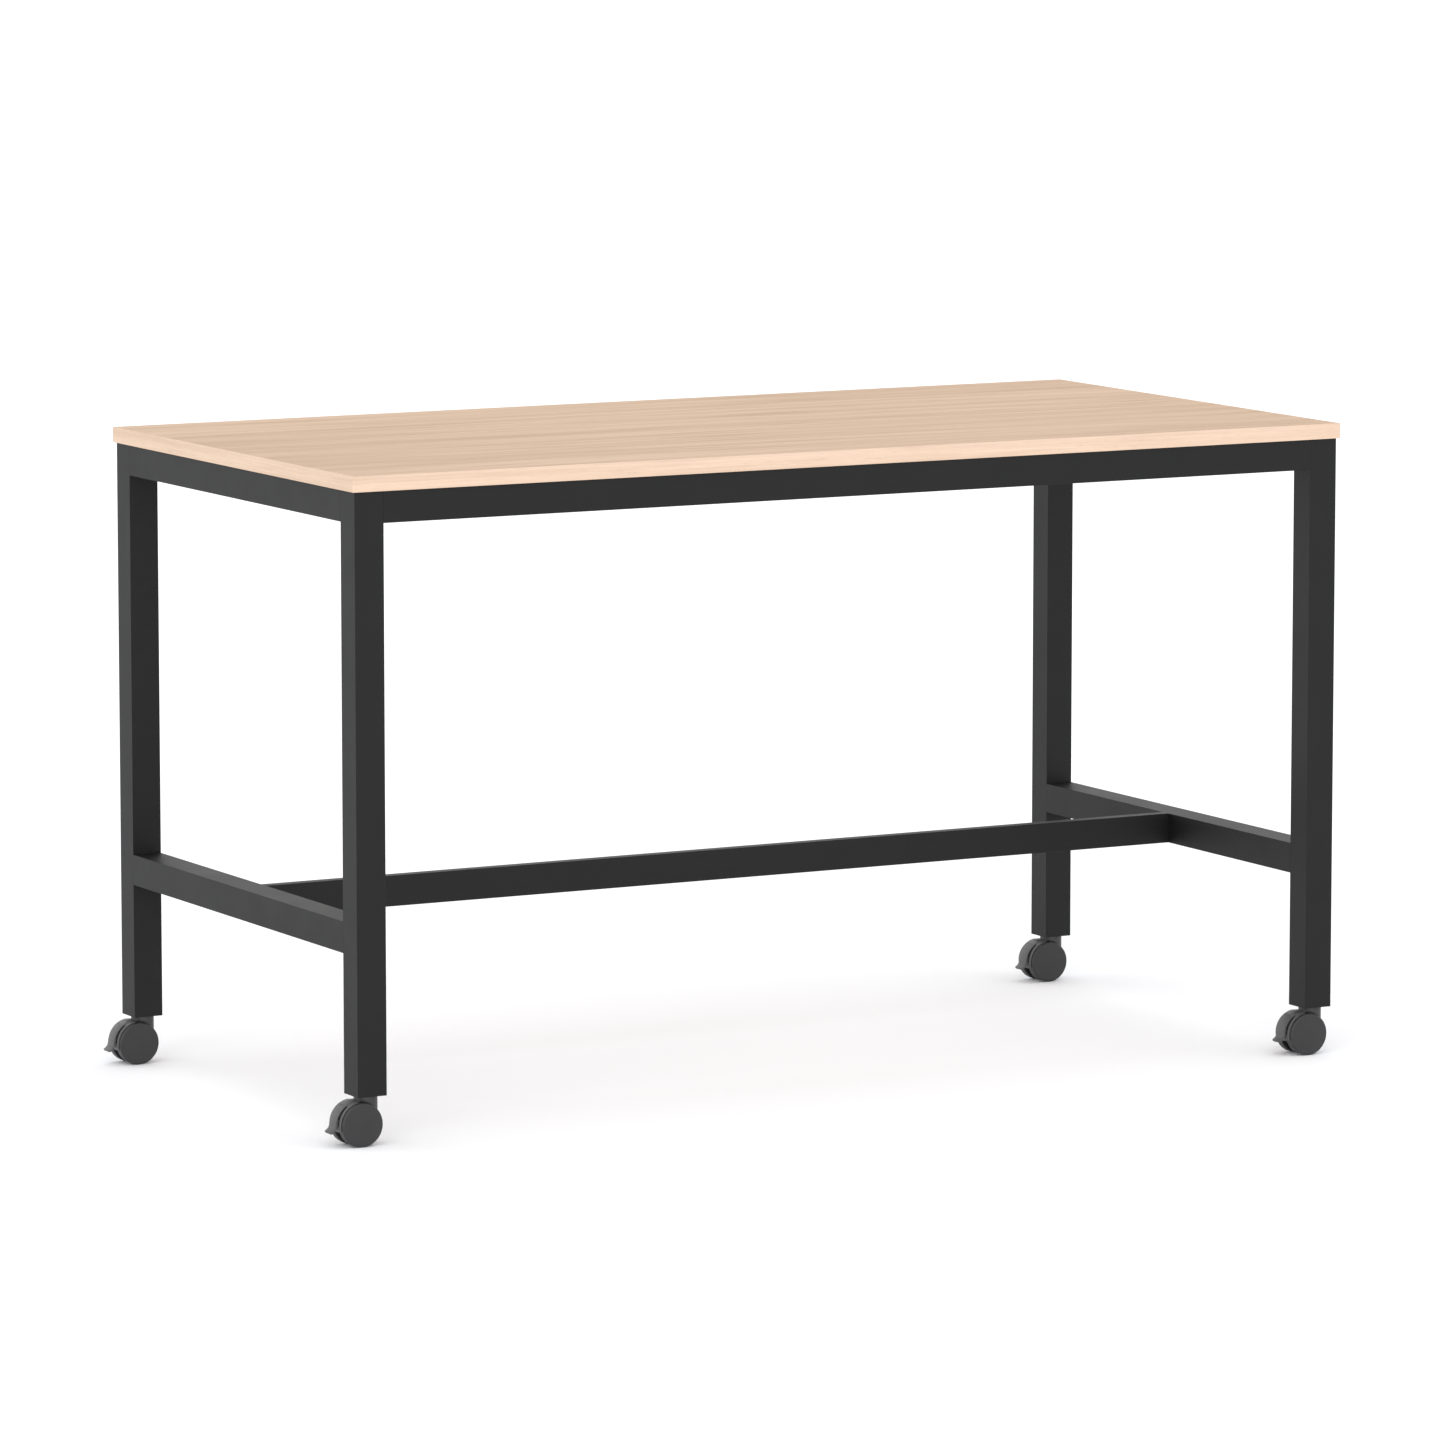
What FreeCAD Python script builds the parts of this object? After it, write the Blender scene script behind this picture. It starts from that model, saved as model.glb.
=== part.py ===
import FreeCAD, Part
import math
import os

from FreeCAD import Vector

# Mobile bar table. X runs along the board, the front long side faces -Y and the floor is at Z zero.
# The origin lies on the floor under the middle of the board. All sizes are in millimetres.

# Board and its edge bands
top_length = 1800.0
top_depth = 900.0
top_thickness = 25.0
table_height = 1050.0
edge_band_thickness = 2.0
edge_band_round = 1.0

# Welded tube frame
frame_inset = 5.0
square_tube_size = 50.0
slim_tube_width = 20.0
tube_wall = 2.0
tube_corner_radius = 0.5
foot_rail_top = 350.0

# Stubs that carry the ends of the slim rails, and the screws that hold the rails on them
spigot_length = 40.0
spigot_clearance = 0.25
rail_screw_diameter = 6.0
rail_screw_length = 14.0
rail_screw_head_diameter = 10.2
rail_screw_socket_width = 4.0
rail_screw_socket_depth = 2.0

# Tabs that the board is screwed to
tab_width = 40.0
tab_reach = 30.0
tab_thickness = 3.0
tab_place_shares = (-0.36, 0.0, 0.36)
tab_screw_diameter = 4.5
tab_screw_length = 19.0
tab_screw_point = 4.0
tab_screw_head_diameter = 9.0
tab_screw_head_height = 3.0
tab_screw_slot_width = 1.4
tab_screw_slot_depth = 1.5

# Plates in the lower ends of the legs
foot_plate_thickness = 8.0

# Caster wheels and axle
wheel_diameter = 70.0
wheel_width = 17.0
wheel_edge_round = 3.0
wheel_inner_edge_round = 1.5
wheel_face_wall = 3.5
wheel_rim_wall = 4.0
wheel_hub_diameter = 18.0
wheel_side_clearance = 1.0
axle_diameter = 8.0
axle_end_gap = 0.3

# Caster housing: neck, web between the wheels and hood behind the neck
caster_trail = 16.5
caster_headroom = 9.1
neck_diameter = 37.5
neck_length = 27.0
web_thickness = 15.0
web_edge_inset = 0.8
web_boss_diameter = 20.0
web_front_angle = 35.0
web_back_angle = 200.0
hood_width = 23.5
hood_rise = 4.0
hood_shift_back = 2.0
hood_shift_down = 1.8
hood_front_angle = 60.0
hood_end_angle = 124.0
hood_clearance = 0.5
hood_skirt_width = 41.0
hood_skirt_rise = 1.9
hood_skirt_wall = 0.8
hood_skirt_front_angle = 98.0
fender_end_angle = 193.0
fender_window_end_angle = 180.0
fender_window_width = 30.5
fender_pedal_gap = 0.45

# Stem, washer and clip on which the caster swivels
stem_diameter = 10.0
stem_thread_length = 22.0
stem_depth = 17.0
stem_end_gap = 0.5
washer_diameter = 26.0
washer_thickness = 1.2
swivel_gap = 0.2
clip_depth = 6.0
clip_thickness = 1.2
clip_diameter = 12.0
clip_groove_depth = 1.0
clip_mouth = 3.0
clip_clearance = 0.3

# Brake pedal: tongue that goes on from the hood, shoe, lip, lug and pin
tongue_start_angle = 124.5
tongue_end_angle = 176.0
tongue_thickness = 1.8
shoe_thickness = 3.0
shoe_start_angle = 164.0
shoe_end_angle = 186.0
shoe_gap = 1.98
lip_reach = 6.8
lip_drop = 8.9
lip_thickness = 3.6
lip_angle = 220.0
lip_corner_round = 4.5
pivot_angle = 136.0
pivot_depth = 5.0
lug_radius = 4.3
lug_width = 7.0
lug_clearance = 0.4
lug_slot_half_angle = 11.0
pedal_pin_diameter = 3.0
pedal_pin_inset = 0.3

# Fits, and the overrun of every cut
running_clearance = 0.05
press_clearance = 0.02
screw_hole_clearance = 0.3
drill_allowance = 1.0
cut_overrun = 1.0
alignment_share = 1e-6

# Levels, faces and centres that follow from the sizes above
along_x = Vector(1, 0, 0)
along_y = Vector(0, 1, 0)
along_z = Vector(0, 0, 1)
half_length = top_length / 2
half_depth = top_depth / 2
slim_tube_height = square_tube_size
rail_screw_head_height = (rail_screw_head_diameter - rail_screw_diameter) / 2
frame_top = table_height - top_thickness
frame_half_length = half_length - frame_inset
frame_half_depth = half_depth - frame_inset
inner_half_length = frame_half_length - square_tube_size
inner_half_depth = frame_half_depth - square_tube_size
leg_centre_x = frame_half_length - square_tube_size / 2
leg_centre_y = frame_half_depth - square_tube_size / 2
caster_height = wheel_diameter + caster_headroom
wheel_radius = wheel_diameter / 2
web_half = web_thickness / 2
housing_top = caster_height - washer_thickness - swivel_gap
axle_centre = Vector(-caster_trail, 0, wheel_radius)
hood_centre = axle_centre - along_x * hood_shift_back - along_z * hood_shift_down
hood_radius = wheel_radius + hood_rise

sides = (("left", -1), ("right", 1))
ends = (("front", -1), ("rear", 1))


# Simple solids


def box_between(corner, opposite):
    """Box between two opposite corners, given in any order."""
    low = Vector(min(corner.x, opposite.x), min(corner.y, opposite.y), min(corner.z, opposite.z))
    high = Vector(max(corner.x, opposite.x), max(corner.y, opposite.y), max(corner.z, opposite.z))
    size = high - low
    return Part.makeBox(size.x, size.y, size.z, low)


def edges_along(solid, direction):
    """Straight edges of a solid that run along a direction."""
    found = []
    for edge in solid.Edges:
        run = edge.Vertexes[-1].Point - edge.Vertexes[0].Point
        if run.cross(direction).Length < alignment_share * run.Length:
            found.append(edge)
    return found


def tube_between(corner, opposite, direction):
    """Rectangular tube along a direction, open at its ends, with rounded outer corners."""
    outer = box_between(corner, opposite)
    outer = outer.makeFillet(tube_corner_radius, edges_along(outer, direction))
    inset = (Vector(1, 1, 1) - direction) * tube_wall - direction * cut_overrun
    return outer.cut(box_between(corner + inset, opposite - inset))


def rod(diameter, start, end):
    """Round bar from one point to another."""
    run = end - start
    return Part.makeCylinder(diameter / 2, run.Length, start, run)


def ring(outer_diameter, inner_diameter, start, end):
    """Flat ring from one point of its axis to another."""
    spare = (end - start).normalize() * cut_overrun
    return rod(outer_diameter, start, end).cut(rod(inner_diameter, start - spare, end + spare))


def turn(radius, angle):
    """Vector of a length in the floor plane, at an angle from X."""
    return Vector(radius * math.cos(math.radians(angle)), radius * math.sin(math.radians(angle)), 0)


def hexagon_prism(width, start, end):
    """Upright hexagonal bar, measured across its flats, from one point to another."""
    corner_radius = width / 2 / math.cos(math.radians(30))
    points = [start + turn(corner_radius, 60 * step) for step in range(7)]
    return Part.Face(Part.makePolygon(points)).extrude(end - start)


# Profiles in the plane of a caster's wheels, seen from the front of the table


def aim(angle):
    """Unit vector in the wheel plane: zero points along X and 90 points up."""
    return Vector(math.cos(math.radians(angle)), 0, math.sin(math.radians(angle)))


def arc(centre, radius, start_angle, end_angle):
    """Arc about a centre in the wheel plane."""
    middle_angle = (start_angle + end_angle) / 2
    angles = (start_angle, middle_angle, end_angle)
    return Part.Arc(*[centre + aim(angle) * radius for angle in angles]).toShape()


def tangent_arc(start, direction, end):
    """Arc that leaves a point along a direction and ends at another point."""
    chord = end - start
    normal = chord - direction * chord.dot(direction)
    normal.normalize()
    radius = chord.dot(chord) / chord.dot(normal) / 2
    centre = start + normal * radius
    outward = start + end - centre * 2
    middle = centre + outward.normalize() * radius
    return Part.Arc(start, middle, end).toShape()


def slab(edges, width):
    """Closed profile in the wheel plane, thickened evenly to both sides."""
    face = Part.Face(Part.Wire(edges))
    face.translate(along_y * (-width / 2))
    return face.extrude(along_y * width)


def pie(centre, radius, start_angle, end_angle, width):
    """Sector of a disc about a centre in the wheel plane."""
    rim = arc(centre, radius, start_angle, end_angle)
    first = Part.makeLine(centre, centre + aim(start_angle) * radius)
    last = Part.makeLine(centre + aim(end_angle) * radius, centre)
    return slab([first, rim, last], width)


def cross_rod(diameter, centre, length):
    """Round bar across the wheel plane, centred on a point of it."""
    half = along_y * (length / 2)
    return rod(diameter, centre - half, centre + half)


def corner_waste(corner, first, second, radius, depth):
    """Waste outside a rounded corner of a plate, whose edges lie ahead along two directions."""
    normal = first.cross(second)
    centre = corner - (first + second) * radius
    reach = radius + cut_overrun
    start = centre - normal * (depth / 2)
    ahead = start + first * reach
    square = Part.makePolygon([start, ahead, ahead + second * reach, start + second * reach, start])
    block = Part.Face(square).extrude(normal * depth)
    return block.cut(rod(radius * 2, centre - normal * depth, centre + normal * depth))


# Places of the screws and tabs


def slim_rail_lines():
    """Middle Y and top level of the front rail, the rear rail and the centre foot rail."""
    outer_y = frame_half_depth - slim_tube_width / 2
    return ((-outer_y, frame_top), (outer_y, frame_top), (0, foot_rail_top))


def rail_screw_seats():
    """Points on the undersides of the slim rails where their screw heads seat."""
    seats = []
    for rail_y, rail_top in slim_rail_lines():
        for side_name, side in sides:
            seat_x = side * (inner_half_length - spigot_length / 2)
            seats.append(Vector(seat_x, rail_y, rail_top - slim_tube_height))
    return seats


def tab_seats():
    """Points where the tabs meet the top of the rails' inner faces, each with its inward direction."""
    seats = []
    rail_face_y = frame_half_depth - slim_tube_width
    for end_name, end in ends:
        for share in tab_place_shares:
            seat = Vector(share * inner_half_length * 2, end * rail_face_y, frame_top)
            seats.append((seat, along_y * -end))
    for side_name, side in sides:
        seats.append((Vector(side * inner_half_length, 0, frame_top), along_x * -side))
    return seats


def tab_screw_seats():
    """Points on the undersides of the tabs where their screw heads seat."""
    return [seat + inward * (tab_reach / 2) - along_z * tab_thickness for seat, inward in tab_seats()]


# Board


def top_panel():
    """Core board with its faces and the pilot holes of the fixing screws."""
    inset = Vector(edge_band_thickness, edge_band_thickness, 0)
    low = Vector(-half_length, -half_depth, frame_top) + inset
    high = Vector(half_length, half_depth, table_height) - inset
    panel = box_between(low, high)
    pilot = tab_screw_length + drill_allowance
    for seat in tab_screw_seats():
        panel = panel.cut(rod(tab_screw_diameter + press_clearance * 2, seat, seat + along_z * pilot))
    return panel


def long_edge_band(end):
    """Band along the front or rear of the board, over its full length, rounded at its outer edges."""
    outer_y = end * half_depth
    inner_y = end * (half_depth - edge_band_thickness)
    low = Vector(-half_length, outer_y, frame_top)
    band = box_between(low, Vector(half_length, inner_y, table_height))
    outer_edges = [edge for edge in band.Edges if abs(edge.CenterOfMass.y) > abs(inner_y)]
    return band.makeFillet(edge_band_round, outer_edges)


def short_edge_band(side):
    """Band along one end of the board, between the two long bands."""
    outer_x = side * half_length
    inner_x = side * (half_length - edge_band_thickness)
    reach_y = half_depth - edge_band_thickness
    band = box_between(Vector(outer_x, -reach_y, frame_top), Vector(inner_x, reach_y, table_height))
    outer_edges = [edge for edge in edges_along(band, along_y) if abs(edge.CenterOfMass.x) > abs(inner_x)]
    return band.makeFillet(edge_band_round, outer_edges)


# Frame


def leg(side, end):
    """Square leg tube from the caster up to the board."""
    half = square_tube_size / 2
    low = Vector(side * leg_centre_x - half, end * leg_centre_y - half, caster_height)
    high = Vector(side * leg_centre_x + half, end * leg_centre_y + half, frame_top)
    return tube_between(low, high, along_z)


def end_rail(side, rail_top):
    """Square rail between the two legs of one end frame."""
    half = square_tube_size / 2
    low = Vector(side * leg_centre_x - half, -inner_half_depth, rail_top - square_tube_size)
    high = Vector(side * leg_centre_x + half, inner_half_depth, rail_top)
    return tube_between(low, high, along_y)


def countersink(seat, clearance):
    """Cone of a countersunk rail screw's head, flush with the underside of the rail."""
    wide = rail_screw_head_diameter / 2 + clearance
    narrow = rail_screw_diameter / 2 + clearance
    return Part.makeCone(wide, narrow, rail_screw_head_height, seat, along_z)


def slim_rail(rail_y, rail_top):
    """Slim rail between the two end frames, with a screw hole under each end."""
    half = slim_tube_width / 2
    low = Vector(-inner_half_length, rail_y - half, rail_top - slim_tube_height)
    high = Vector(inner_half_length, rail_y + half, rail_top)
    rail = tube_between(low, high, along_x)
    hole_diameter = rail_screw_diameter + press_clearance * 2
    for seat in rail_screw_seats():
        if seat.y == rail_y and seat.z == low.z:
            hole = rod(hole_diameter, seat, seat + along_z * (tube_wall + cut_overrun))
            rail = rail.cut([hole, countersink(seat, press_clearance)])
    return rail


def rail_spigots():
    """Stubs on the end frames that reach into the ends of the slim rails."""
    stubs = []
    slack = tube_wall + spigot_clearance
    tapped = rail_screw_diameter + press_clearance * 2
    for seat in rail_screw_seats():
        half = Vector(spigot_length / 2, slim_tube_width / 2 - slack, 0)
        low = seat - half + along_z * slack
        high = seat + half + along_z * (slim_tube_height - slack)
        hole = rod(tapped, seat, seat + along_z * (rail_screw_length + drill_allowance))
        stubs.append(box_between(low, high).cut([hole, countersink(seat, press_clearance)]))
    return Part.makeCompound(stubs)


def rail_screws():
    """Countersunk socket screws up through the rails into their spigots."""
    screws = []
    for seat in rail_screw_seats():
        shank = rod(rail_screw_diameter, seat, seat + along_z * rail_screw_length)
        socket_top = seat + along_z * rail_screw_socket_depth
        socket = hexagon_prism(rail_screw_socket_width, seat - along_z * cut_overrun, socket_top)
        screws.append(countersink(seat, 0).fuse(shank).cut(socket))
    return Part.makeCompound(screws)


def top_fixing_tabs():
    """Flat tabs inside the top rails, level with their tops, each with a screw hole."""
    tabs = []
    hole_diameter = tab_screw_diameter + screw_hole_clearance * 2
    for (seat, inward), screw_seat in zip(tab_seats(), tab_screw_seats()):
        sideways = along_z.cross(inward) * (tab_width / 2)
        tab = box_between(seat - sideways - along_z * tab_thickness, seat + sideways + inward * tab_reach)
        hole_foot = screw_seat - along_z * cut_overrun
        hole_top = screw_seat + along_z * (tab_thickness + cut_overrun)
        tabs.append(tab.cut(rod(hole_diameter, hole_foot, hole_top)))
    return Part.makeCompound(tabs)


def top_fixing_screws():
    """Wood screws up through the tabs into the board."""
    screws = []
    for seat in tab_screw_seats():
        below = seat - along_z * tab_screw_head_height
        head = rod(tab_screw_head_diameter, seat, below)
        rim = [edge for edge in head.Edges if abs(edge.CenterOfMass.z - below.z) < press_clearance]
        head = head.makeFillet(tab_screw_head_height / 2, rim)
        for across in (along_x, along_y):
            reach = across * (tab_screw_diameter / 2)
            half_slot = along_z.cross(across) * (tab_screw_slot_width / 2)
            slot_top = below + along_z * tab_screw_slot_depth
            slot_foot = below - along_z * cut_overrun
            head = head.cut(box_between(slot_foot - reach - half_slot, slot_top + reach + half_slot))
        point_foot = seat + along_z * (tab_screw_length - tab_screw_point)
        shank = rod(tab_screw_diameter, seat, point_foot)
        point = Part.makeCone(tab_screw_diameter / 2, 0, tab_screw_point, point_foot)
        screws.append(head.fuse([shank, point]))
    return Part.makeCompound(screws)


def foot_plates():
    """Tapped plates that close the lower ends of the legs."""
    plates = []
    half = square_tube_size / 2 - tube_wall
    tapped = stem_diameter + press_clearance * 2
    for side_name, side in sides:
        for end_name, end in ends:
            centre = Vector(side * leg_centre_x, end * leg_centre_y, caster_height)
            top = centre + along_z * foot_plate_thickness
            plate = box_between(centre - Vector(half, half, 0), top + Vector(half, half, 0))
            spare = along_z * cut_overrun
            plates.append(plate.cut(rod(tapped, centre - spare, top + spare)))
    return Part.makeCompound(plates)


# Casters, made about their own stem axis with the floor at zero


def clip_level():
    """Level of the middle of the stem clip."""
    return housing_top - clip_depth


def caster_stem():
    """Threaded stem with the groove of its clip near the lower end."""
    foot = along_z * (housing_top - stem_depth)
    stem = rod(stem_diameter, foot, along_z * (caster_height + stem_thread_length))
    groove_half = along_z * (clip_thickness / 2 + press_clearance)
    middle = along_z * clip_level()
    core = stem_diameter - clip_groove_depth * 2
    groove = ring(stem_diameter + cut_overrun, core, middle - groove_half, middle + groove_half)
    return stem.cut(groove)


def swivel_washer():
    """Washer between the leg and the caster housing."""
    hole = stem_diameter + press_clearance * 2
    top = along_z * caster_height
    return ring(washer_diameter, hole, top - along_z * washer_thickness, top)


def stem_clip():
    """Split ring in the groove of the stem, which keeps the caster on it."""
    half = along_z * (clip_thickness / 2)
    middle = along_z * clip_level()
    hole = stem_diameter - clip_groove_depth * 2 + press_clearance * 2
    clip = ring(clip_diameter, hole, middle - half, middle + half)
    mouth_half = along_y * (clip_mouth / 2) + along_z * clip_thickness
    return clip.cut(box_between(middle - mouth_half, middle + mouth_half + along_x * clip_diameter))


def wheel(side):
    """Hollow wheel on one side of the web: face, rim and blind hub, open towards the web."""
    inner_y = web_half + wheel_side_clearance
    outer_y = inner_y + wheel_width
    back_y = outer_y - wheel_face_wall
    hub_radius = wheel_hub_diameter / 2
    bore_radius = axle_diameter / 2 + running_clearance
    rim_radius = wheel_radius - wheel_rim_wall

    def at(radius, level):
        return axle_centre + along_x * radius + along_y * (side * level)

    def corner(round_radius, level, inward):
        slack = round_radius * (1 - math.sqrt(0.5))
        first = at(wheel_radius - round_radius, level)
        middle = at(wheel_radius - slack, level + inward * slack)
        return Part.Arc(first, middle, at(wheel_radius, level + inward * round_radius)).toShape()

    outer_corner = corner(wheel_edge_round, outer_y, -1)
    inner_corner = corner(wheel_inner_edge_round, inner_y, 1)
    inside = Part.makePolygon([
        at(wheel_radius - wheel_inner_edge_round, inner_y),
        at(rim_radius, inner_y),
        at(rim_radius, back_y),
        at(hub_radius, back_y),
        at(hub_radius, inner_y),
        at(bore_radius, inner_y),
        at(bore_radius, back_y),
        at(0, back_y),
        at(0, outer_y),
        at(wheel_radius - wheel_edge_round, outer_y),
    ])
    tread_start = at(wheel_radius, inner_y + wheel_inner_edge_round)
    tread = Part.makeLine(tread_start, at(wheel_radius, outer_y - wheel_edge_round))
    profile = Part.Wire(Part.__sortEdges__(inside.Edges + [outer_corner, tread, inner_corner]))
    return Part.Face(profile).revolve(axle_centre, along_y, 360)


def axle():
    """Pin through the web that carries both wheels."""
    reach = web_half + wheel_side_clearance + wheel_width - wheel_face_wall - axle_end_gap
    return cross_rod(axle_diameter, axle_centre, reach * 2)


def pivot_centre():
    """Centre of the brake pedal's pin."""
    return axle_centre + aim(pivot_angle) * (wheel_radius - pivot_depth)


def wheel_room(side):
    """Space that the housing leaves free for one wheel."""
    start = axle_centre + along_y * (side * web_half)
    return rod((wheel_radius + hood_clearance) * 2, start, start + along_y * (side * neck_diameter))


def hood_skirt(start_angle, end_angle):
    """Sides of the hood between two angles, which slope down over the treads of both wheels."""
    rim_radius = wheel_radius + hood_clearance + hood_skirt_wall
    ridge_radius = wheel_radius + hood_clearance + hood_skirt_rise
    rim_y = hood_skirt_width / 2
    ridge_y = hood_width / 2

    def at(radius, level):
        return axle_centre + aim(start_angle) * radius + along_y * level

    profile = Part.makePolygon([
        at(0, -rim_y),
        at(rim_radius, -rim_y),
        at(ridge_radius, -ridge_y),
        at(ridge_radius, ridge_y),
        at(rim_radius, rim_y),
        at(0, rim_y),
        at(0, -rim_y),
    ])
    return Part.Face(profile).revolve(axle_centre, -along_y, end_angle - start_angle)


def hood_fenders():
    """Strips that run on from the sides of the hood, on both sides of the pedal, and widen below it."""
    strips = hood_skirt(hood_end_angle, fender_end_angle)
    passage_width = hood_width + fender_pedal_gap * 2
    window = pie(axle_centre, hood_radius, hood_end_angle, fender_window_end_angle, fender_window_width)
    passage = pie(axle_centre, hood_radius, fender_window_end_angle, fender_end_angle, passage_width)
    return strips.cut([window, passage])


def caster_housing():
    """Moulded housing: neck around the stem, web between the wheels and hood behind the neck."""
    neck = rod(neck_diameter, along_z * (housing_top - neck_length), along_z * housing_top)
    hood = pie(hood_centre, hood_radius, hood_front_angle, hood_end_angle, hood_width)
    web = pie(axle_centre, wheel_radius - web_edge_inset, web_front_angle, web_back_angle, web_thickness)
    boss = cross_rod(web_boss_diameter, axle_centre, web_thickness)
    skirt = hood_skirt(hood_skirt_front_angle, hood_end_angle)
    housing = neck.fuse([hood, skirt, hood_fenders(), web, boss])
    for side_name, side in sides:
        housing = housing.cut(wheel_room(side))
    through = web_thickness + cut_overrun
    axle_hole = cross_rod(axle_diameter + press_clearance * 2, axle_centre, through)
    pin_hole = cross_rod(pedal_pin_diameter + press_clearance * 2, pivot_centre(), through)
    stem_foot = along_z * (housing_top - stem_depth - stem_end_gap)
    stem_mouth = along_z * (housing_top + cut_overrun)
    stem_hole = rod(stem_diameter + running_clearance * 2, stem_foot, stem_mouth)
    clip_half = along_z * (clip_thickness / 2 + clip_clearance)
    clip_middle = along_z * clip_level()
    clip_room = rod(clip_diameter + clip_clearance * 2, clip_middle - clip_half, clip_middle + clip_half)
    housing = housing.cut([axle_hole, pin_hole, stem_hole, clip_room, lug_room()])
    return housing.removeSplitter()


def lug_room():
    """Slot in the web in which the lug of the brake pedal turns."""
    first = pivot_angle - lug_slot_half_angle
    last = pivot_angle + lug_slot_half_angle
    width = lug_width + lug_clearance * 2
    outer = pie(axle_centre, wheel_radius, first, last, width)
    depth = wheel_radius - pivot_depth - lug_radius - lug_clearance
    return outer.cut(cross_rod(depth * 2, axle_centre, width + cut_overrun))


def pedal_pin():
    """Pin on which the brake pedal tilts, held in the two cheeks of the web."""
    return cross_rod(pedal_pin_diameter, pivot_centre(), web_thickness - pedal_pin_inset * 2)


def brake_pedal():
    """Tongue over the wheels with the brake shoe and the lip at its lower end, and its lug."""
    inner_radius = hood_radius - tongue_thickness
    shoe_radius = wheel_radius + shoe_gap
    flare_top = hood_centre + aim(tongue_end_angle) * hood_radius
    flare_foot = hood_centre + aim(tongue_end_angle) * inner_radius
    flare_aim = aim(tongue_end_angle + 90)
    lip_middle = hood_centre - along_x * (hood_radius + lip_reach) - along_z * lip_drop
    half_lip = aim(lip_angle - 90) * (lip_thickness / 2)
    lip_top = lip_middle + half_lip
    lip_foot = lip_middle - half_lip
    lip_nose = lip_middle + aim(lip_angle) * (lip_thickness / 2)
    outline = [
        arc(hood_centre, hood_radius, tongue_start_angle, tongue_end_angle),
        tangent_arc(flare_top, flare_aim, lip_top),
        Part.Arc(lip_top, lip_nose, lip_foot).toShape(),
        tangent_arc(flare_foot, flare_aim, lip_foot),
        arc(hood_centre, inner_radius, tongue_end_angle, tongue_start_angle),
        Part.makeLine(
            hood_centre + aim(tongue_start_angle) * inner_radius,
            hood_centre + aim(tongue_start_angle) * hood_radius,
        ),
    ]
    tongue = slab(outline, hood_width)
    for side_name, side in sides:
        lip_corner = lip_nose + along_y * (side * hood_width / 2)
        waste = corner_waste(lip_corner, aim(lip_angle), along_y * side, lip_corner_round, lip_drop)
        tongue = tongue.cut(waste)
    shoe = pie(axle_centre, shoe_radius + shoe_thickness, shoe_start_angle, shoe_end_angle, hood_width)
    shoe = shoe.cut(cross_rod(shoe_radius * 2, axle_centre, hood_width + cut_overrun))
    pivot = pivot_centre()
    half_lug = aim(pivot_angle - 90) * lug_radius
    lug_top = axle_centre + aim(pivot_angle) * (hood_radius - tongue_thickness / 4)
    lug_corners = [pivot - half_lug, pivot + half_lug, lug_top + half_lug, lug_top - half_lug]
    lug = slab(Part.makePolygon(lug_corners + lug_corners[:1]).Edges, lug_width)
    eye = cross_rod(lug_radius * 2, pivot, lug_width)
    hole = cross_rod(pedal_pin_diameter + running_clearance * 2, pivot, lug_width + cut_overrun)
    return tongue.fuse([shoe, lug, eye]).cut(hole).removeSplitter()


# The whole table, node by node


def table_nodes():
    """Every piece of the table by name."""
    nodes = {"top_panel": top_panel()}
    for end_name, end in ends:
        nodes["edge_band_" + end_name] = long_edge_band(end)
    for side_name, side in sides:
        nodes["edge_band_" + side_name] = short_edge_band(side)
        nodes["top_end_rail_" + side_name] = end_rail(side, frame_top)
        nodes["foot_end_rail_" + side_name] = end_rail(side, foot_rail_top)
        for end_name, end in ends:
            nodes["leg_" + end_name + "_" + side_name] = leg(side, end)
    slim_rail_names = ("top_long_rail_front", "top_long_rail_rear", "centre_foot_rail")
    for rail_name, (rail_y, rail_top) in zip(slim_rail_names, slim_rail_lines()):
        nodes[rail_name] = slim_rail(rail_y, rail_top)
    nodes["rail_spigots"] = rail_spigots()
    nodes["rail_screws"] = rail_screws()
    nodes["top_fixing_tabs"] = top_fixing_tabs()
    nodes["top_fixing_screws"] = top_fixing_screws()
    nodes["foot_plates"] = foot_plates()
    return nodes


def caster_nodes():
    """Every piece of one caster by name, about its own stem axis. All four casters are the same."""
    return {
        "stem": caster_stem(),
        "swivel_washer": swivel_washer(),
        "stem_clip": stem_clip(),
        "housing": caster_housing(),
        "axle": axle(),
        "pedal_pin": pedal_pin(),
        "brake_pedal": brake_pedal(),
        "front_wheel": wheel(-1),
        "rear_wheel": wheel(1),
    }


def all_nodes():
    """The table with a caster under each leg."""
    nodes = table_nodes()
    caster = caster_nodes()
    for side_name, side in sides:
        for end_name, end in ends:
            place = Vector(side * leg_centre_x, end * leg_centre_y, 0)
            for piece_name, piece in caster.items():
                nodes["caster_" + end_name + "_" + side_name + "_" + piece_name] = piece.translated(place)
    return nodes


os.makedirs("parts", exist_ok=True)
for node_name, shape in all_nodes().items():
    shape.exportStep(os.path.join("parts", node_name + ".step"))
    print(node_name, len(shape.Solids), "solids, valid", shape.isValid(), "volume", round(shape.Volume))
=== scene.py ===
import math

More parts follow.
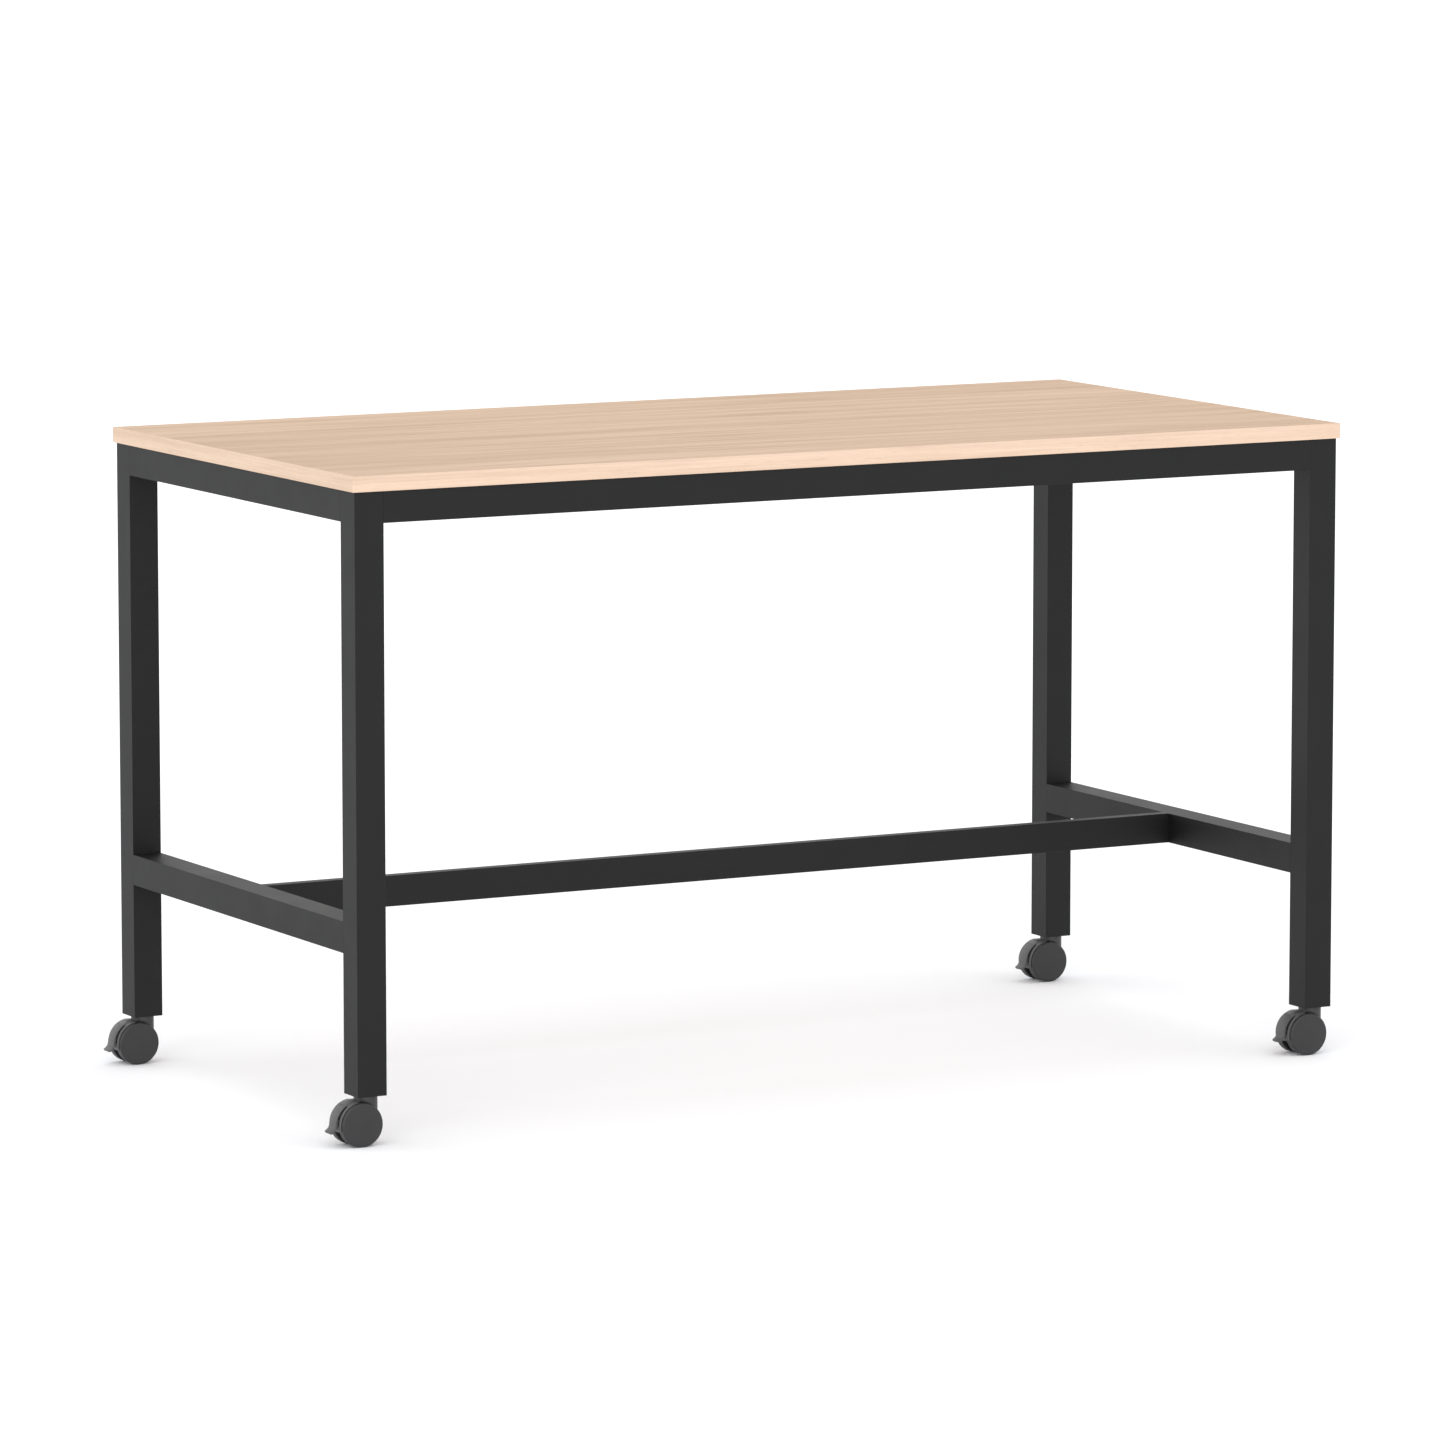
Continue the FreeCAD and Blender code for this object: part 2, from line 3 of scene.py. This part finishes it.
import bmesh
import bpy
from bpy.props import FloatProperty, FloatVectorProperty, IntProperty, PointerProperty
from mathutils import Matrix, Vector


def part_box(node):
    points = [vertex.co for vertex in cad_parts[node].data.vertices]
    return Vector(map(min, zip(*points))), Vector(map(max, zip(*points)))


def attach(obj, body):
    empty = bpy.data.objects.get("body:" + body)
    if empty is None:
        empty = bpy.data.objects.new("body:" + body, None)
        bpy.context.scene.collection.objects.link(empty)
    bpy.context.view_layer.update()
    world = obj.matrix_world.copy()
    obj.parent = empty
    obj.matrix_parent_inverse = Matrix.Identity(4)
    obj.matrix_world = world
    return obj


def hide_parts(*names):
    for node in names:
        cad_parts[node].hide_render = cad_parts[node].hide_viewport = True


bl_info = {
    "name": "Mobile bar table",
    "version": (1, 0, 0),
    "blender": (4, 5, 0),
    "location": "View3D > Sidebar > Bar table",
    "description": "Finishes, caster pieces and studio of a mobile bar table around its CAD model",
    "category": "Object",
}

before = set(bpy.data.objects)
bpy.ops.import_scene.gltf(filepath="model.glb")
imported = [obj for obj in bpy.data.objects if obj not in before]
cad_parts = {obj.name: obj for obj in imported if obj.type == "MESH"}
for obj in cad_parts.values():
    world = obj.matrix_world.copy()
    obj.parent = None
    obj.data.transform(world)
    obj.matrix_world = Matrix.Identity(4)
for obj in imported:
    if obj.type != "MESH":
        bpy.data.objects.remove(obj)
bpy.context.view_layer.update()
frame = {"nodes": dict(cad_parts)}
nodes = frame["nodes"]

CORNERS = ("front_left", "rear_left", "front_right", "rear_right")
WHEEL_SIDES = ("front", "rear")

FULL_RANGE = (0.0, 1.0)

# Noise layers: grains to the metre along X and across it, levels of detail, strength kept at each level
NOISE_LAYERS = {
    "drift": (0.9, 2.4, 1.0, 0.5),
    "bands": (0.7, 23.0, 2.0, 0.5),
    "streaks": (1.5, 80.0, 5.0, 0.66),
    "flecks": (4.2, 84.0, 3.0, 0.6),
    "threads": (2.6, 330.0, 3.0, 0.6),
    "pores": (45.0, 1500.0, 1.0, 0.5),
    "mottle": (9.0, 9.0, 4.0, 0.6),
}

# Wood grain: its sway in metres, the range of noise that each layer uses, and the tones that it gives
GRAIN_SWAY = 0.05
BROAD_NOISE = (0.34, 0.66)
BROAD_TONES = (-0.8, 0.2)
THREAD_TONE = 1.6
DASH_NOISE = (0.53, 0.72)
DASH_TONES = (0.0, 0.55)
PORE_NOISE = (0.56, 0.72)

# Board: the share of wide bands in the grain, and how streaks and pores change the surface
FACE_BAND_SHARE = 0.45
EDGE_BAND_SHARE = 0.3
STREAK_ROUGHNESS = 0.04
PORE_SHARES = (0.0, 0.22)
PORE_SHADE = 0.6
PORE_BUMP = 0.25
PORE_DEPTH = 0.0001

# Coated, moulded and plated surfaces: their slow mottle, and their ripples with depths in metres
MOTTLE_NOISE = (0.35, 0.65)
MOTTLE_SHADE = 0.1
MOTTLE_ROUGHNESS = 0.015
RIPPLE_DETAIL = 2.0
RIPPLE_KEPT = 0.5
RIPPLE_BUMP = 0.3
RIPPLE_DEPTH = 0.00003
PLATING_DEPTH = 0.00001
PLAIN_GLOSS = 0.5

# Moulded pieces: merging distance, angles of a flat joint and of an edge, and tolerances about the neck
MERGE_DISTANCE = 0.000002
FLAT_ANGLE = math.radians(0.4)
EDGE_ANGLE = math.radians(32)
NECK_RIM = 0.0001
NECK_TOLERANCE = 0.0002

# Studio: the camera's sensor in millimetres and reach in metres, the floor, and the light's distance
SENSOR_WIDTH = 36.0
CAMERA_REACH = 200.0
FLOOR_ROUGHNESS = 0.9
FLOOR_GLOSS = 0.0
FILL_DISTANCE = 5.0

# Places of the sockets on a Mix node, some of which share a name
MIX_SHARE = 0
MIX_VALUES = (2, 3)
MIX_COLOURS = (6, 7)
MIXED_VALUE = 0
MIXED_COLOUR = 2


# Settings


class BoardFinish(bpy.types.PropertyGroup):
    """Colours and gloss of the board."""

    face_light: FloatVectorProperty(
        name="Face, light grain", description="Colour between the streaks of the face",
        subtype="COLOR", size=3, min=0, max=1, default=(0.598, 0.434, 0.311),
    )
    face_dark: FloatVectorProperty(
        name="Face, dark grain", description="Colour of the streaks of the face",
        subtype="COLOR", size=3, min=0, max=1, default=(0.447, 0.310, 0.212),
    )
    band_light: FloatVectorProperty(
        name="Band, light grain", description="Colour between the streaks of the edge bands",
        subtype="COLOR", size=3, min=0, max=1, default=(0.682, 0.516, 0.392),
    )
    band_dark: FloatVectorProperty(
        name="Band, dark grain", description="Colour of the streaks of the edge bands",
        subtype="COLOR", size=3, min=0, max=1, default=(0.582, 0.428, 0.318),
    )
    roughness: FloatProperty(
        name="Roughness", description="Mean roughness of the melamine",
        subtype="FACTOR", min=0, max=1, default=0.68,
    )
    gloss: FloatProperty(
        name="Gloss", description="Strength of the reflections on the melamine",
        subtype="FACTOR", min=0, max=1, default=0.2,
    )


class FrameFinish(bpy.types.PropertyGroup):
    """Colours and gloss of the powder coat and of the plated steel."""

    coat: FloatVectorProperty(
        name="Powder coat", description="Colour of the coated tubes",
        subtype="COLOR", size=3, min=0, max=1, default=(0.0030, 0.0030, 0.0031),
    )
    coat_roughness: FloatProperty(
        name="Coat roughness", description="Mean roughness of the powder coat",
        subtype="FACTOR", min=0, max=1, default=0.52,
    )
    coat_gloss: FloatProperty(
        name="Coat gloss", description="Strength of the reflections on the powder coat",
        subtype="FACTOR", min=0, max=1, default=0.295,
    )
    peel_size: FloatProperty(
        name="Peel size", description="Width of the ripples in the powder coat",
        unit="LENGTH", min=0.0002, max=0.01, default=0.0014,
    )
    steel: FloatVectorProperty(
        name="Plated steel", description="Colour of the screws, stems, axles and pins",
        subtype="COLOR", size=3, min=0, max=1, default=(0.520, 0.525, 0.535),
    )
    steel_roughness: FloatProperty(
        name="Steel roughness", description="Mean roughness of the plated steel",
        subtype="FACTOR", min=0, max=1, default=0.36,
    )
    plating_size: FloatProperty(
        name="Plating size", description="Width of the ripples in the plating",
        unit="LENGTH", min=0.0002, max=0.01, default=0.0009,
    )


class CasterFinish(bpy.types.PropertyGroup):
    """Colours, gloss and edges of the moulded caster pieces, with painted light on the hoods and pedals and
    painted shade on the necks.
    """

    # Painted light: the hoods and pedals are lighter than the wheels, standing in for light from the upper
    # left on the same dark grey plastic
    housing: FloatVectorProperty(
        name="Housing", description="Colour of the hoods and the brake pedals",
        subtype="COLOR", size=3, min=0, max=1, default=(0.066, 0.066, 0.067),
    )
    # Painted shade: the necks are darker than the hoods, standing in for the shadow of the legs above them
    neck: FloatVectorProperty(
        name="Neck", description="Colour of the necks that turn under the legs",
        subtype="COLOR", size=3, min=0, max=1, default=(0.026, 0.026, 0.027),
    )
    housing_roughness: FloatProperty(
        name="Housing roughness", description="Mean roughness of the hoods, necks and pedals",
        subtype="FACTOR", min=0, max=1, default=0.42,
    )
    wheel: FloatVectorProperty(
        name="Wheel", description="Colour of the wheels",
        subtype="COLOR", size=3, min=0, max=1, default=(0.022, 0.022, 0.023),
    )
    wheel_roughness: FloatProperty(
        name="Wheel roughness", description="Mean roughness of the wheels",
        subtype="FACTOR", min=0, max=1, default=0.45,
    )
    wheel_gloss: FloatProperty(
        name="Wheel gloss", description="Strength of the reflections on the wheels",
        subtype="FACTOR", min=0, max=1, default=0.4,
    )
    edge_radius: FloatProperty(
        name="Edge radius", description="Radius of the moulded edges of the housings and pedals",
        unit="LENGTH", min=0, max=0.002, default=0.0005,
    )
    edge_segments: IntProperty(
        name="Edge segments", description="Faces across a moulded edge", min=1, max=6, default=3,
    )
    texture_size: FloatProperty(
        name="Texture size", description="Grain of the moulded surface",
        unit="LENGTH", min=0.0001, max=0.01, default=0.0006,
    )


class StudioSettings(bpy.types.PropertyGroup):
    """Camera, floor and lights."""

    camera_place: FloatVectorProperty(
        name="Camera place", description="Where the camera stands",
        subtype="TRANSLATION", unit="LENGTH", size=3, default=(-6.305375, -11.632160, 2.334705),
    )
    camera_tilt: FloatProperty(
        name="Camera tilt", description="Tilt of the camera down from level",
        subtype="ANGLE", default=math.radians(7.62888),
    )
    camera_turn: FloatProperty(
        name="Camera turn", description="Turn of the camera to the right of the front of the table",
        subtype="ANGLE", default=math.radians(28.40376),
    )
    camera_lens: FloatProperty(
        name="Lens", description="Focal length on a sensor 36 mm wide",
        unit="CAMERA", min=1, default=202.797,
    )
    floor_colour: FloatVectorProperty(
        name="Floor", description="Colour of the floor",
        subtype="COLOR", size=3, min=0, max=1, default=(0.927, 0.937, 0.960),
    )
    floor_size: FloatProperty(
        name="Floor size", description="Length of each side of the floor",
        unit="LENGTH", min=1, default=120.0,
    )
    sky_strength: FloatProperty(
        name="Sky strength", description="Brightness of the white surround", min=0, default=1.2,
    )
    fill_source: FloatVectorProperty(
        name="Fill source", description="Direction from the table to the low soft light",
        subtype="XYZ", size=3, default=(-0.51, -0.80, 0.31),
    )
    fill_strength: FloatProperty(
        name="Fill strength", description="Strength of the low soft light from the front left",
        min=0, default=1.4,
    )
    fill_spread: FloatProperty(
        name="Fill spread", description="Width of the soft light, as seen from the table",
        subtype="ANGLE", min=0, default=math.radians(60),
    )


class BarTableSettings(bpy.types.PropertyGroup):
    """All settings of the bar table."""

    board: PointerProperty(type=BoardFinish, name="Board", description="Finish of the board")
    frame: PointerProperty(type=FrameFinish, name="Frame", description="Finish of the frame")
    caster: PointerProperty(type=CasterFinish, name="Casters", description="Finish of the casters")
    studio: PointerProperty(type=StudioSettings, name="Studio", description="Camera, floor and lights")


# Node trees


def add_node(tree, kind, inputs=(), **settings):
    """New node with its settings, and with each named input set to a value or linked to a socket."""
    node = tree.nodes.new(kind)
    for name, value in settings.items():
        setattr(node, name, value)
    for socket, value in dict(inputs).items():
        if isinstance(value, bpy.types.NodeSocket):
            tree.links.new(value, node.inputs[socket])
        else:
            node.inputs[socket].default_value = value
    return node


def new_group(name, inputs, outputs):
    """Shader node group with named sockets, and its input and output nodes."""
    tree = bpy.data.node_groups.new(name, "ShaderNodeTree")
    for direction, sockets in (("INPUT", inputs), ("OUTPUT", outputs)):
        for socket_name, kind in sockets.items():
            tree.interface.new_socket(name=socket_name, in_out=direction, socket_type=kind)
    return tree, tree.nodes.new("NodeGroupInput"), tree.nodes.new("NodeGroupOutput")


def noise_layer(tree, vector, layer):
    """Noise of one named layer, with its grains drawn out along X."""
    along, across, detail, kept = NOISE_LAYERS[layer]
    stretch = {0: vector, 1: (along, across, across)}
    drawn = add_node(tree, "ShaderNodeVectorMath", stretch, operation="MULTIPLY")
    values = {"Vector": drawn.outputs[0], "Scale": 1.0, "Detail": detail, "Roughness": kept}
    return add_node(tree, "ShaderNodeTexNoise", values).outputs["Fac"]


def worked_value(tree, operation, *values, clamped=False):
    """Value that a Math node works out from others."""
    node = add_node(tree, "ShaderNodeMath", enumerate(values), operation=operation, use_clamp=clamped)
    return node.outputs[0]


def ranged_value(tree, value, taken, given=FULL_RANGE):
    """Value carried from one range to another, and held inside it."""
    ends = {"From Min": taken[0], "From Max": taken[1], "To Min": given[0], "To Max": given[1]}
    return add_node(tree, "ShaderNodeMapRange", {"Value": value, **ends}).outputs[0]


def mixed_colour(tree, share, *ends):
    """Colour between two others, each a colour or a socket, at a share that changes over the surface."""
    values = {MIX_SHARE: share}
    for place, end in zip(MIX_COLOURS, ends):
        values[place] = end if isinstance(end, bpy.types.NodeSocket) else (*end, 1)
    return add_node(tree, "ShaderNodeMix", values, data_type="RGBA").outputs[MIXED_COLOUR]


def straight_grain_group():
    """Straight wood grain along X: wide bands, streaks, fine threads, short dark dashes and pores."""
    if "straight_grain" in bpy.data.node_groups:
        return bpy.data.node_groups["straight_grain"]
    inputs = {"Vector": "NodeSocketVector", "Band Share": "NodeSocketFloat"}
    outputs = {"Streaks": "NodeSocketFloat", "Pores": "NodeSocketFloat"}
    tree, given, made = new_group("straight_grain", inputs, outputs)
    place = given.outputs["Vector"]
    sway = worked_value(tree, "MULTIPLY", noise_layer(tree, place, "drift"), GRAIN_SWAY)
    offset = add_node(tree, "ShaderNodeCombineXYZ", {"Y": sway})
    moved = add_node(tree, "ShaderNodeVectorMath", {0: place, 1: offset.outputs[0]}, operation="ADD")
    swayed = moved.outputs[0]
    streaks = noise_layer(tree, swayed, "streaks")
    bands = noise_layer(tree, swayed, "bands")
    mix = {MIX_SHARE: given.outputs["Band Share"], MIX_VALUES[0]: streaks, MIX_VALUES[1]: bands}
    mixed = add_node(tree, "ShaderNodeMix", mix).outputs[MIXED_VALUE]
    broad = ranged_value(tree, mixed, BROAD_NOISE, BROAD_TONES)
    threaded = worked_value(tree, "MULTIPLY_ADD", noise_layer(tree, swayed, "threads"), THREAD_TONE, broad)
    dashes = ranged_value(tree, noise_layer(tree, swayed, "flecks"), DASH_NOISE, DASH_TONES)
    dashed = worked_value(tree, "SUBTRACT", threaded, dashes, clamped=True)
    pores = ranged_value(tree, noise_layer(tree, swayed, "pores"), PORE_NOISE)
    tree.links.new(dashed, made.inputs["Streaks"])
    tree.links.new(pores, made.inputs["Pores"])
    return tree


def rippled_skin_group():
    """Fine even ripples of a coated or moulded surface, and a slow mottle over it."""
    if "rippled_skin" in bpy.data.node_groups:
        return bpy.data.node_groups["rippled_skin"]
    inputs = {"Vector": "NodeSocketVector", "Ripples": "NodeSocketFloat"}
    outputs = {"Height": "NodeSocketFloat", "Mottle": "NodeSocketFloat"}
    tree, given, made = new_group("rippled_skin", inputs, outputs)
    place = given.outputs["Vector"]
    ripples = add_node(tree, "ShaderNodeTexNoise", {
        "Vector": place, "Scale": given.outputs["Ripples"], "Detail": RIPPLE_DETAIL, "Roughness": RIPPLE_KEPT,
    })
    mottle = ranged_value(tree, noise_layer(tree, place, "mottle"), MOTTLE_NOISE)
    tree.links.new(ripples.outputs["Fac"], made.inputs["Height"])
    tree.links.new(mottle, made.inputs["Mottle"])
    return tree


# Materials


def new_material(name):
    """Node material with its Principled BSDF."""
    material = bpy.data.materials.new(name)
    material.use_nodes = True
    return material, material.node_tree.nodes["Principled BSDF"]


def piece_place(tree):
    """Coordinates in the piece's own frame."""
    return tree.nodes.new("ShaderNodeTexCoord").outputs["Object"]


def varied_roughness(tree, shader, share, roughness, change):
    """Roughness that falls from above its mean to below it as the share rises."""
    rough = ranged_value(tree, share, FULL_RANGE, (roughness + change, roughness - change))
    tree.links.new(rough, shader.inputs["Roughness"])


def add_bump(tree, shader, height, strength, distance):
    """Bump of a height in metres on the shader's normal."""
    values = {"Strength": strength, "Distance": distance, "Height": height}
    tree.links.new(add_node(tree, "ShaderNodeBump", values).outputs[0], shader.inputs["Normal"])


def grain_material(name, look, light, dark, band_share, turn=0.0):
    """Melamine with printed straight grain, along X or turned about the vertical."""
    material, shader = new_material(name)
    tree = material.node_tree
    turned = add_node(tree, "ShaderNodeMapping", {"Vector": piece_place(tree), "Rotation": (0, 0, turn)})
    values = {"Vector": turned.outputs[0], "Band Share": band_share}
    grain = add_node(tree, "ShaderNodeGroup", values, node_tree=straight_grain_group())
    streaked = mixed_colour(tree, grain.outputs["Streaks"], dark, light)
    pore_share = ranged_value(tree, grain.outputs["Pores"], FULL_RANGE, PORE_SHARES)
    pored = mixed_colour(tree, pore_share, streaked, [PORE_SHADE * part for part in dark])
    tree.links.new(pored, shader.inputs["Base Color"])
    varied_roughness(tree, shader, grain.outputs["Streaks"], look.roughness, STREAK_ROUGHNESS)
    shader.inputs["Specular IOR Level"].default_value = look.gloss
    add_bump(tree, shader, grain.outputs["Pores"], PORE_BUMP, -PORE_DEPTH)
    return material


def skin_material(name, colour, roughness, ripple_size, depth=RIPPLE_DEPTH, gloss=PLAIN_GLOSS, metallic=0.0):
    """Coated, moulded or plated surface with fine ripples and a slow mottle."""
    material, shader = new_material(name)
    tree = material.node_tree
    values = {"Vector": piece_place(tree), "Ripples": 1.0 / ripple_size}
    skin = add_node(tree, "ShaderNodeGroup", values, node_tree=rippled_skin_group())
    darker = [(1 - MOTTLE_SHADE) * part for part in colour]
    lighter = [(1 + MOTTLE_SHADE) * part for part in colour]
    mottled = mixed_colour(tree, skin.outputs["Mottle"], darker, lighter)
    tree.links.new(mottled, shader.inputs["Base Color"])
    varied_roughness(tree, shader, skin.outputs["Mottle"], roughness, MOTTLE_ROUGHNESS)
    shader.inputs["Specular IOR Level"].default_value = gloss
    shader.inputs["Metallic"].default_value = metallic
    add_bump(tree, shader, skin.outputs["Height"], RIPPLE_BUMP, depth)
    return material


def coat_nodes(names, material):
    """Puts one material on CAD nodes."""
    for name in names:
        nodes[name].data.materials.clear()
        nodes[name].data.materials.append(material)


# Pieces


def softened_piece(node, body, look):
    """Copy of a moulded CAD node with rounded edges, which stands for it."""
    shape = bmesh.new()
    shape.from_mesh(nodes[node].data)
    bmesh.ops.remove_doubles(shape, verts=shape.verts, dist=MERGE_DISTANCE)
    bmesh.ops.dissolve_limit(
        shape, angle_limit=FLAT_ANGLE, use_dissolve_boundaries=False, verts=shape.verts, edges=shape.edges
    )
    mesh = bpy.data.meshes.new(node + "_moulding")
    shape.to_mesh(mesh)
    shape.free()
    piece = bpy.data.objects.new(node + "_moulding", mesh)
    bpy.context.scene.collection.objects.link(piece)
    mesh.shade_smooth()
    rounded = piece.modifiers.new("edges", "BEVEL")
    rounded.width = look.edge_radius
    rounded.segments = look.edge_segments
    rounded.limit_method = "ANGLE"
    rounded.angle_limit = EDGE_ANGLE
    rounded.harden_normals = True
    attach(piece, body)
    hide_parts(node)
    return piece


# Painted shade goes on these faces, standing in for the leg's shadow on the neck
def neck_faces(mesh, stem):
    """Faces of a housing's mesh that lie on its neck, the round part about the stem."""
    low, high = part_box(stem)
    centre = (low + high) / 2
    spread = [(vertex.co - centre).xy.length for vertex in mesh.vertices]
    top = max(vertex.co.z for vertex in mesh.vertices)
    neck_radius = max(spread[vertex.index] for vertex in mesh.vertices if vertex.co.z > top - NECK_RIM)
    return [
        face for face in mesh.polygons
        if all(abs(spread[index] - neck_radius) < NECK_TOLERANCE for index in face.vertices)
    ]


# Operators


class BARTABLE_OT_finish_board(bpy.types.Operator):
    """Give the board and its edge bands their printed wood grain"""

    bl_idname = "bar_table.finish_board"
    bl_label = "Finish board"

    def execute(self, context):
        look = context.scene.bar_table.board
        face_look = (look, look.face_light, look.face_dark, FACE_BAND_SHARE)
        band_look = (look, look.band_light, look.band_dark, EDGE_BAND_SHARE)
        face = grain_material("oak_face", *face_look)
        long_band = grain_material("oak_band_long", *band_look)
        short_band = grain_material("oak_band_short", *band_look, turn=math.pi / 2)
        coat_nodes(["top_panel"], face)
        coat_nodes(["edge_band_front", "edge_band_rear"], long_band)
        coat_nodes(["edge_band_left", "edge_band_right"], short_band)
        return {"FINISHED"}


class BARTABLE_OT_finish_frame(bpy.types.Operator):
    """Give the welded tubes, the rails and their plates the black powder coat"""

    bl_idname = "bar_table.finish_frame"
    bl_label = "Finish frame"

    def execute(self, context):
        look = context.scene.bar_table.frame
        coat = skin_material(
            "black_powder_coat", look.coat, look.coat_roughness, look.peel_size, gloss=look.coat_gloss
        )
        names = ["leg_" + corner for corner in CORNERS]
        for side in ("left", "right"):
            names += ["top_end_rail_" + side, "foot_end_rail_" + side]
        names += ["top_long_rail_front", "top_long_rail_rear", "centre_foot_rail"]
        names += ["rail_spigots", "top_fixing_tabs", "foot_plates"]
        coat_nodes(names, coat)
        return {"FINISHED"}


class BARTABLE_OT_finish_fixings(bpy.types.Operator):
    """Give the screws and the steel pieces of the casters their zinc plating"""

    bl_idname = "bar_table.finish_fixings"
    bl_label = "Finish fixings"

    def execute(self, context):
        look = context.scene.bar_table.frame
        plating = skin_material(
            "zinc_plating", look.steel, look.steel_roughness, look.plating_size, PLATING_DEPTH, metallic=1.0
        )
        names = ["rail_screws", "top_fixing_screws"]
        for corner in CORNERS:
            for piece in ("stem", "swivel_washer", "stem_clip", "axle", "pedal_pin"):
                names.append("caster_" + corner + "_" + piece)
        coat_nodes(names, plating)
        return {"FINISHED"}


class BARTABLE_OT_make_housings(bpy.types.Operator):
    """Make the moulded caster housings and brake pedals with rounded edges, with painted light on the hoods
    and pedals and painted shade on the necks
    """

    bl_idname = "bar_table.make_housings"
    bl_label = "Make housings and pedals"

    def execute(self, context):
        look = context.scene.bar_table.caster
        # Painted light: the hood and pedal plastic is a lighter copy of the caster plastic, standing in for
        # light from the upper left
        plastic = skin_material("housing_plastic_painted_light", look.housing, look.housing_roughness, look.texture_size)
        # Painted shade: the neck plastic is a darker copy of the housing plastic, standing in for the shadow
        # of the leg above
        neck = skin_material("neck_plastic_painted_shade", look.neck, look.housing_roughness, look.texture_size)
        for corner in CORNERS:
            caster = "caster_" + corner
            housing = softened_piece(caster + "_housing", caster, look)
            housing.data.materials.append(plastic)
            housing.data.materials.append(neck)
            # The neck faces take the painted shade
            for face in neck_faces(housing.data, caster + "_stem"):
                face.material_index = housing.data.materials.find(neck.name)
            pedal = softened_piece(caster + "_brake_pedal", caster + "_brake", look)
            pedal.data.materials.append(plastic)
        return {"FINISHED"}


class BARTABLE_OT_finish_wheels(bpy.types.Operator):
    """Give the caster wheels their moulded plastic"""

    bl_idname = "bar_table.finish_wheels"
    bl_label = "Finish wheels"

    def execute(self, context):
        look = context.scene.bar_table.caster
        plastic = skin_material(
            "wheel_plastic", look.wheel, look.wheel_roughness, look.texture_size, gloss=look.wheel_gloss
        )
        names = []
        for corner in CORNERS:
            names += ["caster_" + corner + "_" + side + "_wheel" for side in WHEEL_SIDES]
        coat_nodes(names, plastic)
        return {"FINISHED"}


class BARTABLE_OT_make_studio(bpy.types.Operator):
    """Make the floor, the white surround, the soft light and the camera"""

    bl_idname = "bar_table.make_studio"
    bl_label = "Make studio"

    def execute(self, context):
        studio = context.scene.bar_table.studio
        self.make_floor(context, studio)
        self.make_surround(context, studio)
        self.make_fill(context, studio)
        self.make_camera(context, studio)
        return {"FINISHED"}

    def make_floor(self, context, studio):
        """Wide plain floor under the table."""
        shape = bmesh.new()
        bmesh.ops.create_grid(shape, x_segments=1, y_segments=1, size=studio.floor_size / 2)
        mesh = bpy.data.meshes.new("floor")
        shape.to_mesh(mesh)
        shape.free()
        floor = bpy.data.objects.new("floor", mesh)
        context.scene.collection.objects.link(floor)
        material, shader = new_material("studio_floor")
        shader.inputs["Base Color"].default_value = (*studio.floor_colour, 1)
        shader.inputs["Roughness"].default_value = FLOOR_ROUGHNESS
        shader.inputs["Specular IOR Level"].default_value = FLOOR_GLOSS
        mesh.materials.append(material)

    def make_surround(self, context, studio):
        """White light from all round, shown with plain display colours."""
        world = bpy.data.worlds.new("white_surround")
        world.use_nodes = True
        background = world.node_tree.nodes["Background"]
        background.inputs["Color"].default_value = (1, 1, 1, 1)
        background.inputs["Strength"].default_value = studio.sky_strength
        context.scene.world = world
        context.scene.view_settings.view_transform = "Standard"

    def make_fill(self, context, studio):
        """Low soft light from the front left."""
        lamp = bpy.data.lights.new("fill_light", "SUN")
        lamp.energy = studio.fill_strength
        lamp.angle = studio.fill_spread
        light = bpy.data.objects.new("fill_light", lamp)
        light.location = studio.fill_source * FILL_DISTANCE
        light.rotation_euler = studio.fill_source.to_track_quat("Z", "Y").to_euler()
        context.scene.collection.objects.link(light)

    def make_camera(self, context, studio):
        """Camera at the photograph's place, with its view."""
        lens = bpy.data.cameras.new("camera")
        lens.sensor_width = SENSOR_WIDTH
        lens.lens = studio.camera_lens
        lens.clip_end = CAMERA_REACH
        camera = bpy.data.objects.new("camera", lens)
        camera.location = studio.camera_place
        camera.rotation_euler = (math.pi / 2 - studio.camera_tilt, 0, -studio.camera_turn)
        context.scene.collection.objects.link(camera)
        context.scene.camera = camera


# Panel and registration


STEPS = (
    BARTABLE_OT_finish_board,
    BARTABLE_OT_finish_frame,
    BARTABLE_OT_finish_fixings,
    BARTABLE_OT_make_housings,
    BARTABLE_OT_finish_wheels,
    BARTABLE_OT_make_studio,
)


class BARTABLE_PT_panel(bpy.types.Panel):
    """Steps that dress the bar table, in order"""

    bl_idname = "BARTABLE_PT_panel"
    bl_label = "Bar table"
    bl_space_type = "VIEW_3D"
    bl_region_type = "UI"
    bl_category = "Bar table"

    def draw(self, context):
        for step in STEPS:
            self.layout.operator(step.bl_idname)


CLASSES = (
    BoardFinish, FrameFinish, CasterFinish, StudioSettings, BarTableSettings,
    *STEPS, BARTABLE_PT_panel,
)


def register():
    for item in CLASSES:
        bpy.utils.register_class(item)
    bpy.types.Scene.bar_table = PointerProperty(type=BarTableSettings)


def unregister():
    del bpy.types.Scene.bar_table
    for item in reversed(CLASSES):
        bpy.utils.unregister_class(item)


def main():
    register()
    bpy.ops.bar_table.finish_board()
    bpy.ops.bar_table.finish_frame()
    bpy.ops.bar_table.finish_fixings()
    bpy.ops.bar_table.make_housings()
    bpy.ops.bar_table.finish_wheels()
    bpy.ops.bar_table.make_studio()


if __name__ == "__main__":
    main()
